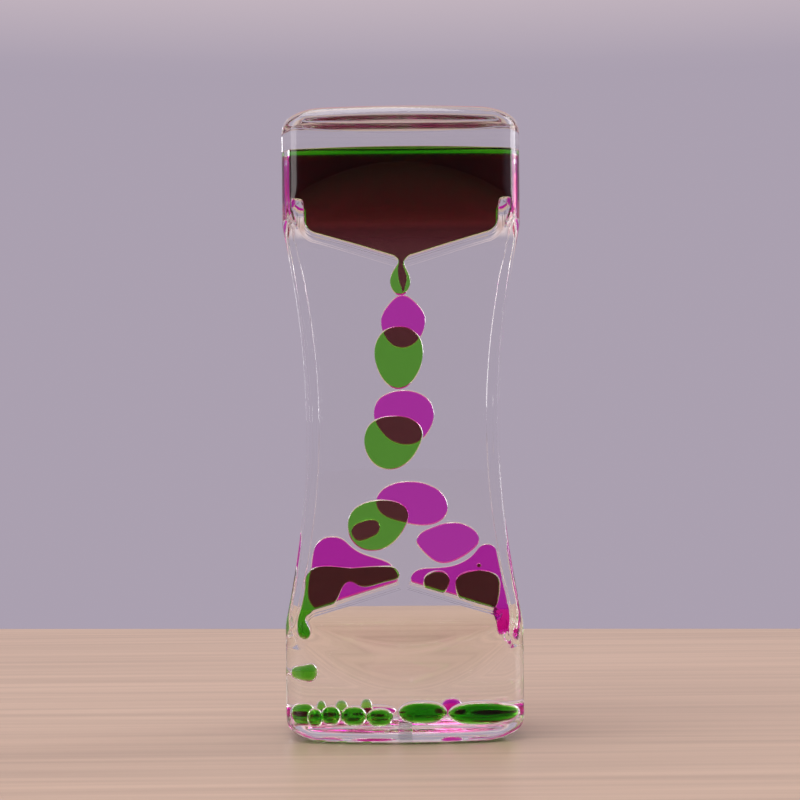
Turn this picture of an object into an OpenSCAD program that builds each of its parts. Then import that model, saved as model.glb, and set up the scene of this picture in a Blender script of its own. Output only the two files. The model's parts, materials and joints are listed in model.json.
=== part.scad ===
// Liquid motion timer: a clear hourglass-shaped casing with two flat chambers, one in
// front of the other, each holding clear oil and dyed water that drips from a funnel.
// Millimetres. +Z up, front towards -Y, origin at the middle of the base.

/* [Casing] */
// Width of the end blocks
body_w = 50; // [48:0.5:56]
// Depth of the end blocks at the middle of their bulged faces
body_d = 32; // [30:0.5:36]
// Overall height
body_h = 132; // [129:0.5:140]
// Radius of the casing corners seen from the front
corner_r = 4.8; // [4:0.1:6]
// Radius of the upright edges seen from above
plan_corner_r = 5.5; // [4.5:0.1:6.5]
// Radius of the bulged front and rear faces
bulge_r = 78; // [70:1:120]
// Rounding of the long top and bottom edges
edge_r = 3; // [2:0.1:4]

/* [Waist] */
// How far each side is drawn in at the narrowest place
waist_draw = 4.8; // [3.8:0.1:5.4]
// Radius of the two side arcs
waist_r = 182; // [175:1:195]
// Depth between the flat front and rear waist faces
waist_d = 21.2; // [20:0.1:23]
// Height above the middle where the waist slope meets the end block's face
slope_top = 52.8; // [51:0.1:55]
// Angle of the waist slope from upright
slope_a = 26; // [24:0.5:30]
// Radius that blends the slope into the flat waist
blend_r = 17.5; // [12:0.5:20]

/* [Walls] */
// Side wall of the end blocks
side_wall = 2.2; // [1.8:0.1:2.6]
// Front and rear wall of the end blocks
face_wall = 3; // [2.4:0.1:3.4]
// Side wall in the waist
waist_side_wall = 3.1; // [2.6:0.1:3.4]
// Front and rear wall in the waist
waist_face_wall = 5; // [4.4:0.1:5.4]
// Floor and ceiling
end_wall = 3; // [2.5:0.1:3.6]
// Depth of the shallow oval dish in each end face
dish_depth = 1.2; // [0.8:0.1:1.6]
// Length of the dish
dish_l = 38; // [32:0.5:40]
// Width of the dish
dish_w = 18; // [14:0.5:20]

/* [Divider] */
// Thickness of the plate between the chambers
divider_t = 1.5; // [1.2:0.1:2]
// How far the plate's border reaches into the shells
rebate = 1.2; // [0.8:0.1:1.4]

/* [Funnels] */
// Gap between the tips of a pair of wings
orifice_w = 3; // [2.6:0.1:4]
// Distance of the tips' outer side from mid-height
tip_z = 33.4; // [32:0.1:35]
// Slope of the wings
wing_a = 17; // [14:0.5:18]
// Thickness of the wings
wing_t = 1.4; // [1:0.1:1.6]
// Gap between an upright skirt and the side wall of the end blocks
skirt_gap = 1.8; // [1.6:0.1:2.4]
// Outer radius of the bend between wing and skirt
bend_r = 4.5; // [3.5:0.1:5]
// Distance of the skirts' free end from mid-height
skirt_z = 47; // [45:0.1:49]

/* [Plugs] */
// Diameter of a fill plug
plug_d = 2.8; // [2:0.1:3.4]
// Distance of each plug from the divider's middle plane
plug_y = 5.5; // [4.5:0.1:7]
// Length of a plug
plug_l = 3.2; // [2.6:0.1:3.6]

/* [Liquids] */
// Distance of the pools' surface from mid-height
pool_z = 58.6; // [56:0.1:60]
// Distance from mid-height down to which liquid hangs in the side gaps
gap_pool_z = 43; // [42.5:0.1:45]
// Thickness of a flattened drop
drop_t = 3.6; // [2.6:0.1:3.8]

/* [Fits] */
// Glue gap round the pieces bonded into the shells
bond = 0.1; // [0.05:0.01:0.15]
// Film left round each body of liquid
film = 0.2; // [0.15:0.01:0.25]

/* [Hidden] */
$fn = 96;
eps = 1;
// Excess that keeps the faces of one outline off those of another where they cross
proud = 0.05;
z_mid = body_h / 2;
half_w = body_w / 2;
half_d = body_d / 2;
arc_x = half_w - waist_draw + waist_r;
cav_half_w = half_w - side_wall;
skirt_x = cav_half_w - skirt_gap;
cav_half_d = half_d - face_wall;
cav_half_h = body_h / 2 - end_wall;
cav_waist_d = waist_d / 2 - waist_face_wall;
cav_arc_r = waist_r + waist_side_wall;
cav_corner_r = corner_r - side_wall;
cav_edge_r = edge_r / 2;
// The inner slope lies parallel to the outer one, one face wall further in
cav_slope_top = slope_top + face_wall / sin(slope_a) - face_wall / tan(slope_a);
cav_blend_r = blend_r - waist_face_wall;
// Centre of a wing's bend, and the length of its plate
bend_x = skirt_x - bend_r;
wing_l = (bend_x + bend_r * sin(wing_a) - orifice_w / 2) / cos(wing_a);
bend_z = tip_z + wing_l * sin(wing_a) + bend_r * cos(wing_a);
// Centre plane of a chamber at the waist
chamber_y = (cav_waist_d + divider_t / 2) / 2;
dish_rho = (pow(dish_w / 2, 2) + pow(dish_depth, 2)) / (2 * dish_depth);
dish_arc = pow(dish_l / 2, 2) / (2 * dish_depth) + dish_depth / 2;
green = "forestgreen";
magenta = "mediumvioletred";

// Drops, each outlined by two circles [x, height from mid-height, radius] and their tangents
green_neck = [[-0.3, 29.7, 2.3], [-0.2, 33.9, 1.1]];
magenta_neck = [[0.3, 33.9, 1.0], [0.2, 28.2, 0.7]];
green_drops = [
    [[-0.6, 15.4, 5.2], [-0.4, 10.6, 3.2]],
    [[-1.5, -3.3, 5.3], [-2.7, -4.2, 5.3]],
    [[-7.0, -22.0, 4.6], [-4.2, -20.3, 4.6]]];
magenta_drops = [
    [[0.3, 20.6, 4.8], [0.35, 25.4, 1.5]],
    [[-0.3, 1.3, 5.8], [0.8, 1.3, 5.8]],
    [[-1.4, -15.6, 4.2], [5.1, -17.2, 4.2]],
    [[5.3, -24.9, 2.7], [11, -24.8, 4.0]],
    [[-9.3, -22.9, 2.2], [-7.0, -21.9, 2.3]]];

// Puddles on the roofs and trickles beside them, each a smooth curve round hand-set corners
green_left_puddle = [[-20.8, -29.2], [-11, -29.4], [-2, -29.3], [-0.4, -31.6], [-4.4, -33.3], [-7.7, -34.6],
    [-10.5, -32.3], [-12.9, -33.6], [-13.8, -37.4], [-20.6, -39.6], [-22, -35]];
green_near_blob = [[4, -30.6], [9.6, -30.6], [9.6, -34.8], [4, -34.8]];
green_far_blob = [[10.4, -31], [15.5, -30], [20.2, -31], [20.2, -37.2], [15.5, -38], [10.4, -36.4]];
green_speck = [[14.9, -28.8], [16.1, -28.8], [16.1, -29.9], [14.9, -29.9]];
magenta_left_puddle = [[-21, -25.2], [-15.4, -22.9], [-11.3, -25.9], [-7.4, -28.3], [-2, -29.4],
    [-0.6, -32.6], [-10, -36.2], [-21.4, -40.2], [-22.4, -33]];
magenta_right_puddle = [[1, -32.6], [2.6, -30.2], [6, -30.2], [9.5, -30], [13, -29.8], [15.8, -28],
    [18, -24.8], [21, -25.6], [22.4, -33], [21.4, -40.2], [11, -36.4], [4.8, -34.6]];
// A trickle and a bead, given by their distance in from the side wall
trickle = [[1.8, -40.2], [0.9, -42.5], [0.7, -44.5], [0, -47], [0.6, -49.4], [2.2, -49.2],
    [1.8, -46.8], [1.8, -43.5], [2.4, -41]];
side_bead = [2.4, -52.4, 2.0];

// Drops on the floor: [place along X, half-length, half-width, height, distance from the divider],
// the first three as shares of the chamber's half-width, which the drops spread over
green_floor = [[-0.899, 0.083, 0.083, 4.2, 5.6], [-0.724, 0.075, 0.075, 3.6, 7.2],
    [-0.557, 0.083, 0.083, 3.6, 5.4], [-0.364, 0.101, 0.096, 3.4, 7.0], [-0.140, 0.114, 0.105, 3.4, 8.6],
    [0.202, 0.219, 0.149, 3.6, 6.0], [0.702, 0.272, 0.167, 4.2, 5.8]];
magenta_floor = [[-0.746, 0.228, 0.158, 2.6, 5.6], [-0.272, 0.202, 0.149, 2.2, 6.2],
    [0.421, 0.096, 0.096, 2.6, 7.4], [0.754, 0.219, 0.167, 2.8, 5.6]];

function arc_points(c, r, from, to, n) = [for (i = [0:n]) let (t = from + (to - from) * i / n)
    [c[0] + r * cos(t), c[1] + r * sin(t)]];
function reversed(list) = [for (i = [len(list) - 1:-1:0]) list[i]];

// Placing flat outlines

module xz_slab(y_lo, y_hi) {
    translate([0, y_hi, z_mid]) rotate([90, 0, 0]) linear_extrude(height = y_hi - y_lo) children();
}

module yz_slab(half) {
    translate([-half, 0, z_mid]) rotate([90, 0, 90]) linear_extrude(height = 2 * half) children();
}

// The whole of one side: 1 is the rear chamber, -1 the front one
module side_half(side) {
    translate([-body_w, side < 0 ? -body_d : 0, -eps]) cube([2 * body_w, body_d, body_h + 2 * eps]);
}

// Outlines of the casing and its cavity

module round_rect(hw, hh, r) {
    square([2 * (hw - r), 2 * hh], center = true);
    square([2 * hw, 2 * (hh - r)], center = true);
    for (sx = [-1, 1], sz = [-1, 1]) translate([sx * (hw - r), sz * (hh - r)]) circle(r);
}

module front_outline(hw, hh, r, side_arc_r) {
    difference() {
        round_rect(hw, hh, r);
        for (sx = [-1, 1]) translate([sx * arc_x, 0]) circle(side_arc_r, $fn = 720);
    }
}

// Two bulged faces between flat sides
module lens_outline(hw, hd, big_r) {
    intersection() {
        translate([0, big_r - hd]) circle(big_r, $fn = 360);
        translate([0, hd - big_r]) circle(big_r, $fn = 360);
        square([2 * hw, 4 * hd], center = true);
    }
}

module plan_outline(hw, hd, big_r, r) {
    arc_y = big_r - hd;
    cx = hw - r;
    cy = sqrt(pow(big_r - r, 2) - pow(cx, 2)) - arc_y;
    reach = (big_r + r) / (big_r - r);
    tx = cx * reach;
    ty = (cy + arc_y) * reach - arc_y;
    square([2 * hw, 2 * cy], center = true);
    for (sx = [-1, 1], sy = [-1, 1]) translate([sx * cx, sy * cy]) circle(r);
    intersection() {
        lens_outline(2 * hw, hd, big_r);
        polygon([[cx, cy], [tx, ty], [-tx, ty], [-cx, cy], [-cx, -cy], [-tx, -ty], [tx, -ty], [cx, -cy]]);
    }
}

module upright() {
    translate([0, 0, -eps]) linear_extrude(height = body_h + 2 * eps) children();
}

// The hollow of the waist seen from the side, on the +Y face
module waist_hollow(hd, hd_waist, z_top, r) {
    tangent_z = z_top - (hd - hd_waist) / tan(slope_a) - r * tan(slope_a / 2);
    cy = hd_waist + r;
    out = hd + r;
    z_out = z_top + r / tan(slope_a);
    ty = cy - r * cos(slope_a);
    tz = tangent_z + r * sin(slope_a);
    polygon([[hd_waist, -tangent_z], [hd_waist, tangent_z], [ty, tz],
        [out, z_out], [out, -z_out], [ty, -tz]]);
    for (sz = [-1, 1]) translate([cy, sz * tangent_z]) circle(r, $fn = 180);
}

module side_outline(hd, hd_waist, hh, z_top, r_blend, r_edge) {
    difference() {
        round_rect(hd + proud, hh + proud, r_edge);
        waist_hollow(hd, hd_waist, z_top, r_blend);
        mirror([1, 0]) waist_hollow(hd, hd_waist, z_top, r_blend);
    }
}

// A long shallow spindle that cuts the dish in an end face, or with extra radius backs it
module dish_spindle(extra = 0) {
    rotate([0, 90, 0]) rotate_extrude() intersection() {
        translate([dish_rho - dish_arc, 0]) circle(dish_arc + extra, $fn = 720);
        translate([0, -dish_l]) square([dish_rho + 2 * end_wall, 2 * dish_l]);
    }
}

module both_dishes(extra = 0) {
    drop = dish_rho - dish_depth;
    for (z = [-drop, body_h + drop]) translate([0, 0, z]) dish_spindle(extra);
}

module casing_block() {
    difference() {
        intersection() {
            xz_slab(-body_d, body_d) front_outline(half_w, body_h / 2, corner_r, waist_r);
            upright() plan_outline(half_w + proud, half_d, bulge_r, plan_corner_r);
            yz_slab(body_w) side_outline(half_d, waist_d / 2, body_h / 2, slope_top, blend_r, edge_r);
        }
        both_dishes();
    }
}

module cavity_front(inset = 0) {
    front_outline(cav_half_w - inset, cav_half_h - inset, cav_corner_r, cav_arc_r + inset);
}

// The space inside the shells, seen from the side and from above, drawn in by a clearance
module cavity_depth(inset = 0) {
    intersection() {
        upright() lens_outline(half_w, cav_half_d - inset, bulge_r - face_wall - inset);
        cavity_profile(inset);
    }
}

module cavity_profile(inset = 0) {
    hd = cav_half_d - inset;
    hh = cav_half_h - inset;
    waist = cav_waist_d - inset;
    z_top = cav_slope_top + inset;
    z_flat = z_top - (hd - waist) / tan(slope_a) - cav_blend_r * tan(slope_a / 2);
    quarter = concat(
        arc_points([waist + cav_blend_r, z_flat], cav_blend_r, 180, 180 - slope_a, 6),
        [[hd, z_top], [hd, hh - cav_edge_r], [hd - cav_edge_r, hh]]);
    upper = concat(quarter, [for (p = reversed(quarter)) [-p[0], p[1]]]);
    yz_slab(body_w) polygon(concat(upper, [for (p = reversed(upper)) [p[0], -p[1]]]));
}

// An outline seen from the front, carried through one chamber from its divider side outwards
module chamber_slab(side, inner) {
    if (side < 0) xz_slab(-body_d, -inner) children();
    else xz_slab(inner, body_d) children();
}

module divider_outline(grow = 0) {
    front_outline(cav_half_w + rebate + grow, cav_half_h + rebate + grow, cav_corner_r + rebate,
        cav_arc_r - rebate - grow);
}

// Wings: a sloping plate, a bend and an upright skirt, drawn for the upper right one

function sloped(x, z) = [x * cos(wing_a) - z * sin(wing_a), x * sin(wing_a) + z * cos(wing_a)];

module wing_outline(grow = 0) {
    outer_r = bend_r + grow;
    inner_r = bend_r - wing_t - grow;
    tip = -wing_l - grow;
    skirt_h = skirt_z + grow - bend_z;
    translate([bend_x, bend_z]) polygon(concat(
        [sloped(tip, -outer_r)], arc_points([0, 0], outer_r, wing_a - 90, 0, 9), [[outer_r, skirt_h]],
        [[inner_r, skirt_h]], arc_points([0, 0], inner_r, 0, wing_a - 90, 9), [sloped(tip, -inner_r)]));
}

// Turns an upper right outline into any of the four places
module place(up, right) {
    mirror([right > 0 ? 0 : 1, 0]) mirror([0, up > 0 ? 0 : 1]) children();
}

module wing(side, up, right) {
    color("aliceblue", 0.5) intersection() {
        chamber_slab(side, divider_t / 2) place(up, right) wing_outline();
        cavity_profile(bond);
    }
}

module all_wings(grow) {
    for (up = [-1, 1], right = [-1, 1]) place(up, right) wing_outline(grow);
}

// Casing pieces

module plug_at(d, side, z, l) {
    translate([0, side * plug_y, z]) cylinder(d = d, h = l);
}

module shell(side) {
    color("lightcyan", 0.35) difference() {
        intersection() {
            casing_block();
            side_half(side);
        }
        difference() {
            intersection() {
                xz_slab(-body_d, body_d) cavity_front();
                cavity_depth();
            }
            both_dishes(end_wall);
        }
        xz_slab(-divider_t / 2 - bond, divider_t / 2 + bond) divider_outline(bond);
        plug_at(plug_d + bond, side, -eps, 2 * end_wall + 2 * eps);
    }
}

module divider_plate() {
    color("whitesmoke", 0.4) xz_slab(-divider_t / 2, divider_t / 2) divider_outline();
}

// The plug's outer end lies flush in the dish
module fill_plug(side) {
    color("white", 0.8) plug_at(plug_d, side, dish_depth, plug_l);
}

// Bodies of liquid

function pair_angle(a, b) = atan2(b[1] - a[1], b[0] - a[0]);
function pair_beta(a, b) = acos((a[2] - b[2]) / norm([b[0] - a[0], b[1] - a[1]]));
// The outline round two circles, as points
function pair_points(pair, grow) = let (a = pair[0], b = pair[1], t = pair_angle(a, b), u = pair_beta(a, b))
    concat(arc_points(a, a[2] + grow, t + u, t + 360 - u, 14), arc_points(b, b[2] + grow, t - u, t + u, 14));

// A closed quadratic B-spline round a ring of corners
function smooth(ring, n = 5) = let (m = len(ring)) [for (i = [0:m - 1], k = [0:n - 1]) let (
    t = k / n, a = ring[(i + m - 1) % m], b = ring[i], c = ring[(i + 1) % m])
    (1 - t) * (1 - t) * (a + b) / 2 + 2 * t * (1 - t) * b + t * t * (b + c) / 2];

// The same curve pushed outwards, for corners listed clockwise
function pushed(points, d) = let (m = len(points)) [for (i = [0:m - 1]) let (
    e = points[(i + 1) % m] - points[(i + m - 1) % m])
    points[i] + d * [-e[1], e[0]] / norm(e)];

module blob(ring, grow = 0) {
    polygon(grow > 0 ? pushed(smooth(ring), grow) : smooth(ring));
}

function from_side_wall(ring) = [for (p = ring) [cav_half_w - p[0], p[1]]];
bead_x = side_bead[0] - cav_half_w;

module round_disc(r, t) {
    e = min(t / 2, r);
    rotate_extrude() {
        if (r > e) translate([0, -e]) square([r - e, 2 * e]);
        intersection() {
            translate([r - e, 0]) circle(e, $fn = 12);
            translate([r - e, -e]) square([e, 2 * e]);
        }
    }
}

// A flattened drop with a rounded rim, lying in the XY plane
module flat_drop(pair, t) {
    hull() for (c = pair) translate([c[0], c[1], 0]) round_disc(c[2], t, $fn = 32);
}

module free_drop(pair, side, tint) {
    color(tint, 0.8) translate([0, side * chamber_y, z_mid]) rotate([90, 0, 0]) flat_drop(pair, drop_t);
}

// Liquid that reaches across a chamber, bounded by its walls and wings
module chamber_body(side, tint) {
    color(tint, 0.8) intersection() {
        chamber_slab(side, divider_t / 2 + film) difference() {
            intersection() {
                children();
                cavity_front(film);
            }
            all_wings(film);
        }
        cavity_depth(film);
    }
}

// Lies in the funnel and over the skirts, down to gap_pool_z in the side gaps
module pool_outline(grow = 0) {
    outer = cav_half_w + eps;
    skirt_mid = skirt_x - wing_t / 2;
    lip_x = orifice_w / 2 + 1;
    lip_z = tip_z + wing_t + film - grow;
    half = [[0, pool_z + grow], [outer, pool_z + grow], [outer, gap_pool_z - grow],
        [skirt_mid, gap_pool_z - grow], [skirt_mid, bend_z], [bend_x + 1, bend_z - bend_r + wing_t / 2],
        [lip_x, lip_z], [0, lip_z]];
    polygon(concat(half, [for (i = [len(half) - 2:-1:1]) [-half[i][0], half[i][1]]]));
}

module top_pool(side, tint) {
    color(tint, 0.8) intersection() {
        chamber_slab(side, divider_t / 2 + film) difference() {
            intersection() {
                pool_outline();
                cavity_front(film);
            }
            all_wings(film);
        }
        cavity_depth(film);
    }
}

function floor_z(x) = end_wall + max(0, dish_depth * (1 - pow(2 * x / dish_l, 2)));
function drop_floor(d) = floor_z(d[0] * cav_half_w);
function floor_pair(d, side) = let (x = d[0] * cav_half_w, r = d[2] * cav_half_w)
    [for (s = [-1, 1]) [x + s * max(d[1] * cav_half_w - r, 0.05), side * (d[4] + divider_t / 2), r]];

module floor_drops(rows, side, tint) {
    color(tint, 0.8) for (d = rows) translate([0, 0, drop_floor(d) + film + d[3] / 2])
        flat_drop(floor_pair(d, side), d[3]);
}

module oil(side) {
    front = side < 0;
    puddles = front ? [green_left_puddle, green_near_blob, green_far_blob, green_speck]
        : [magenta_left_puddle, magenta_right_puddle];
    drops = front ? concat([green_neck], green_drops) : concat([magenta_neck], magenta_drops);
    rows = front ? green_floor : magenta_floor;
    color("ivory", 0.2) difference() {
        intersection() {
            chamber_slab(side, divider_t / 2 + bond) difference() {
                cavity_front(bond);
                all_wings(bond);
                pool_outline(film);
                for (pair = drops) polygon(pair_points(pair, film));
                for (ring = puddles) blob(ring, film);
                place(1, side) blob(from_side_wall(trickle), 3 * film);
                if (front) translate([bead_x, side_bead[1]]) circle(side_bead[2] + film);
            }
            cavity_depth(bond);
        }
        both_dishes(end_wall + bond);
        for (d = rows) translate([0, 0, -eps]) linear_extrude(height = drop_floor(d) + d[3] + 2 * film + eps)
            polygon(pair_points(floor_pair(d, side), film));
        plug_at(plug_d + bond, side, 0, dish_depth + plug_l + film);
    }
}

shell(-1);  // front_shell
shell(1);  // rear_shell
divider_plate();
wing(-1, 1, -1);  // front_upper_left_wing
wing(-1, 1, 1);  // front_upper_right_wing
wing(-1, -1, -1);  // front_lower_left_wing
wing(-1, -1, 1);  // front_lower_right_wing
wing(1, 1, -1);  // rear_upper_left_wing
wing(1, 1, 1);  // rear_upper_right_wing
wing(1, -1, -1);  // rear_lower_left_wing
wing(1, -1, 1);  // rear_lower_right_wing
fill_plug(-1);  // front_fill_plug
fill_plug(1);  // rear_fill_plug
oil(-1);  // front_clear_oil
oil(1);  // rear_clear_oil
top_pool(-1, green);  // green_top_pool
top_pool(1, magenta);  // magenta_top_pool
free_drop(green_neck, -1, green);  // green_neck_drop
free_drop(magenta_neck, 1, magenta);  // magenta_neck_drop
free_drop(green_drops[0], -1, green);  // green_upper_drop
free_drop(green_drops[1], -1, green);  // green_middle_drop
free_drop(green_drops[2], -1, green);  // green_lower_drop
free_drop(magenta_drops[0], 1, magenta);  // magenta_upper_drop
free_drop(magenta_drops[1], 1, magenta);  // magenta_middle_drop
free_drop(magenta_drops[2], 1, magenta);  // magenta_lower_drop
free_drop(magenta_drops[3], 1, magenta);  // magenta_landing_drop
free_drop(magenta_drops[4], 1, magenta);  // magenta_small_drop
chamber_body(-1, green) blob(green_left_puddle);  // green_left_roof_puddle
chamber_body(-1, green) for (ring = [green_near_blob, green_far_blob, green_speck]) blob(ring);  // green_right_roof_puddle
chamber_body(1, magenta) blob(magenta_left_puddle);  // magenta_left_roof_puddle
chamber_body(1, magenta) blob(magenta_right_puddle);  // magenta_right_roof_puddle
chamber_body(-1, green) place(1, -1) blob(from_side_wall(trickle));  // green_side_trickle
chamber_body(1, magenta) blob(from_side_wall(trickle));  // magenta_side_trickle
color(green, 0.8) translate([bead_x, -chamber_y, z_mid + side_bead[1]]) sphere(side_bead[2]);  // green_side_bead
floor_drops(green_floor, -1, green);  // green_floor_drops
floor_drops(magenta_floor, 1, magenta);  // magenta_floor_drops
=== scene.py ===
import json
import math

import bmesh
import bpy
import numpy as np
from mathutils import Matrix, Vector, geometry

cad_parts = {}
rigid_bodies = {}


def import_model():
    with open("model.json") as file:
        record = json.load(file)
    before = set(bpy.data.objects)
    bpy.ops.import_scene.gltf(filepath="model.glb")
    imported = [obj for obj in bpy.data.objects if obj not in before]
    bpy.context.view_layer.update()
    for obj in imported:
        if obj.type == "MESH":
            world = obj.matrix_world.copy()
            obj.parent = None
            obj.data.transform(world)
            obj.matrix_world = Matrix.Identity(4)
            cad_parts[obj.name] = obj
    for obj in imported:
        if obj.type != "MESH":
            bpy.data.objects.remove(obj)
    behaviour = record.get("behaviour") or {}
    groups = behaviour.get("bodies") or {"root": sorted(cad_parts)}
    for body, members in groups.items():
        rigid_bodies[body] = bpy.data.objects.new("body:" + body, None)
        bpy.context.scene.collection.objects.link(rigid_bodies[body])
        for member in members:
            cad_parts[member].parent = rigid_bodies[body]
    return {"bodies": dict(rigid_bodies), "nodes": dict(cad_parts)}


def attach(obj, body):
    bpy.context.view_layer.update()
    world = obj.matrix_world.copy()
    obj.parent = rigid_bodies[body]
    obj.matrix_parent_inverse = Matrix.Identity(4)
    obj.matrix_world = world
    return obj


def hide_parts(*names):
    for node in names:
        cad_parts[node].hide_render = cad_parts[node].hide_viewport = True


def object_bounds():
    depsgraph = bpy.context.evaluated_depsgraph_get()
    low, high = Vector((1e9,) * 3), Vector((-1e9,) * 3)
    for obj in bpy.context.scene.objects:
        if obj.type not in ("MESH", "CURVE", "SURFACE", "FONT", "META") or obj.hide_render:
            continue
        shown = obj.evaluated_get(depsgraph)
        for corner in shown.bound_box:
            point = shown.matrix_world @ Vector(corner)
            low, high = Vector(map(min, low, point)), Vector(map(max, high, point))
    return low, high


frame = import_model()
cadLow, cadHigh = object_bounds()
mm = 0.001  # every size below is in millimetres
print("frame loaded:", len(frame["nodes"]), "CAD nodes")

# camera: level, at mid height of the timer, turned a little about its own axis as in the photo
cameraSet = {
    "distance": 380.0,
    "height": 64.8,
    "side": -0.6,
    "pixelsPerMm": 4.66,  # at the middle plane of the timer
    "imageSize": 800,
    "shiftUp": 30.0,  # pixels between the horizon line and the image's middle
    "roll": 0.5,
}


def makeCamera(s):
    data = bpy.data.cameras.new("studioCamera")
    cam = bpy.data.objects.new("studioCamera", data)
    bpy.context.scene.collection.objects.link(cam)
    data.sensor_width = 36.0
    data.lens = s["pixelsPerMm"] * s["distance"] / s["imageSize"] * data.sensor_width
    data.shift_y = s["shiftUp"] / s["imageSize"]
    data.clip_start, data.clip_end = 0.02, 20.0
    cam.location = (s["side"] * mm, -s["distance"] * mm, s["height"] * mm)
    cam.rotation_euler = (math.radians(90), math.radians(s["roll"]), 0)
    bpy.context.scene.camera = cam


makeCamera(cameraSet)

# the casing's outside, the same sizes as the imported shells
casing = {
    "halfW": (cadHigh.x - cadLow.x) / 2 / mm,
    "halfD": (cadHigh.y - cadLow.y) / 2 / mm,
    "halfH": (cadHigh.z - cadLow.z) / 2 / mm,
    "bulge": 78.0,
    "planCorner": 4.6,
    "endCorner": 4.8,
    "endEdge": 3.0,
    "sideArc": 182.0,
    "arcX": (cadHigh.x - cadLow.x) / 2 / mm - 4.8 + 182.0,
    "waistHalfD": 10.6,
    "slopeTop": 52.8,
    "slope": math.radians(26),
    "blend": 17.5,
    "creaseRound": 0.9,
    "waistEdge": 1.3,
    "shoulderEdge": 0.25,
    "backing": 0.0,
    "start": 0.01,  # half of the hairline between the two shells
}
# the hollow inside, whose walls follow the outside
hollow = {
    "halfW": casing["halfW"] - 2.2,
    "halfD": casing["halfD"] - 3.0,
    "halfH": casing["halfH"] - 3.0,
    "bulge": casing["bulge"] - 3.0,
    "planCorner": 0.6,
    "endCorner": 2.6,
    "endEdge": 1.5,
    "sideArc": 155.0,
    "arcX": casing["halfW"] - 4.8 - 2.5 + 155.0,  # the side wall is 2.5 thick at the waist
    "waistHalfD": 5.6,
    "slopeTop": 53.49,
    "slope": casing["slope"],
    "blend": 12.5,
    "creaseRound": 0.3,
    "waistEdge": 0.6,
    "shoulderEdge": 0.2,
    "backing": 3.0,
    "start": 0.85,
}
dish = {"length": 38.0, "width": 18.0, "depth": 1.2, "rimRound": 0.12}
divider = {"half": 0.75, "rebate": 1.3}
midZ = casing["halfH"]


def roundMax(a, b, r):
    u, v = np.maximum(a + r, 0), np.maximum(b + r, 0)
    return np.minimum(np.maximum(a, b), -r) + np.hypot(u, v)


def softMin(a, b, k):
    return 0.5 * (a + b - np.sqrt((a - b) ** 2 + k * k))


def quarterDrop(t, r):
    # how far a rounded edge of radius r has drawn in at t past its start
    return r - np.sqrt(np.maximum(r * r - np.clip(t, 0, r) ** 2, 0))


def waistProfile(s, az):
    flatEnd = s["slopeTop"] - (s["halfD"] - s["waistHalfD"]) / math.tan(s["slope"]) \
        - s["blend"] * math.tan(s["slope"] / 2)
    bent = s["waistHalfD"] + quarterDrop(az - flatEnd, s["blend"])
    line = s["halfD"] + (az - s["slopeTop"]) * math.tan(s["slope"])
    return np.where(az < flatEnd + s["blend"] * math.sin(s["slope"]), bent, line)


def endWidth(s, az):
    return s["halfW"] - quarterDrop(az - (s["halfH"] - s["endCorner"]), s["endCorner"])


def planField(s, x, y, az):
    a = np.abs(x) - (endWidth(s, az) - s["planCorner"])
    b = np.hypot(x, np.abs(y) + s["bulge"] - s["halfD"]) - (s["bulge"] - s["planCorner"])
    corner = np.hypot(np.maximum(a, 0), np.maximum(b, 0))
    return np.minimum(np.maximum(a, b), 0) + corner - s["planCorner"]


def bodyField(s, x, y, z):
    az = np.abs(z)
    plan = planField(s, x, y, az) + quarterDrop(az - (s["halfH"] - s["endEdge"]), s["endEdge"])
    faces = roundMax(plan, np.abs(y) - waistProfile(s, az), s["creaseRound"])
    side = np.abs(x) - (s["arcX"] - np.sqrt(s["sideArc"] ** 2 - np.minimum(az, 100) ** 2))
    ease = np.clip((42 - az) / 8, 0, 1)
    edge = s["shoulderEdge"] + (s["waistEdge"] - s["shoulderEdge"]) * ease * ease * (3 - 2 * ease)
    return roundMax(faces, side, edge)


def solveRays(s, cosT, sinT, z, field):
    # distance along each ray, from a start point on the split plane, to the field's surface
    low, high = np.zeros_like(z), np.full_like(z, 2 * s["halfW"])
    for _ in range(gridSet["halvings"]):
        mid = (low + high) / 2
        inside = field(mid * cosT, s["start"] + mid * sinT, z) < 0
        low, high = np.where(inside, mid, low), np.where(inside, high, mid)
    return (low + high) / 2


def dishDepth(x, y, backing):
    rho = ((dish["width"] / 2) ** 2 + dish["depth"] ** 2) / (2 * dish["depth"])
    arc = (dish["length"] / 2) ** 2 / (2 * dish["depth"]) + dish["depth"] / 2
    spindle = rho - arc + np.sqrt((arc + backing) ** 2 - np.minimum(np.abs(x), arc - 1) ** 2)
    cut = np.sqrt(np.maximum(spindle ** 2 - y ** 2, 0)) - (rho - dish["depth"]) - backing
    return 0.5 * (cut + np.sqrt(cut ** 2 + dish["rimRound"] ** 2))


gridSet = {
    "side": 5, "corner": 34, "front": 50,
    "waistRows": 14, "slopeRows": 34, "creaseRows": 6, "blockRows": 10, "edgeRows": 12,
    "rimRows": 6, "dishRows": 14, "waistTop": 35.0, "creaseReach": 0.5, "rimInset": 0.96, "halvings": 44,
}


def columnAngles(lowCorner, highCorner):
    g = gridSet
    quarter = np.concatenate([
        np.linspace(0, lowCorner, g["side"], endpoint=False),
        np.linspace(lowCorner, highCorner, g["corner"], endpoint=False),
        np.linspace(highCorner, 90, g["front"] // 2 + 1)])
    return np.radians(np.concatenate([quarter, 180 - quarter[-2::-1]]))


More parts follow.
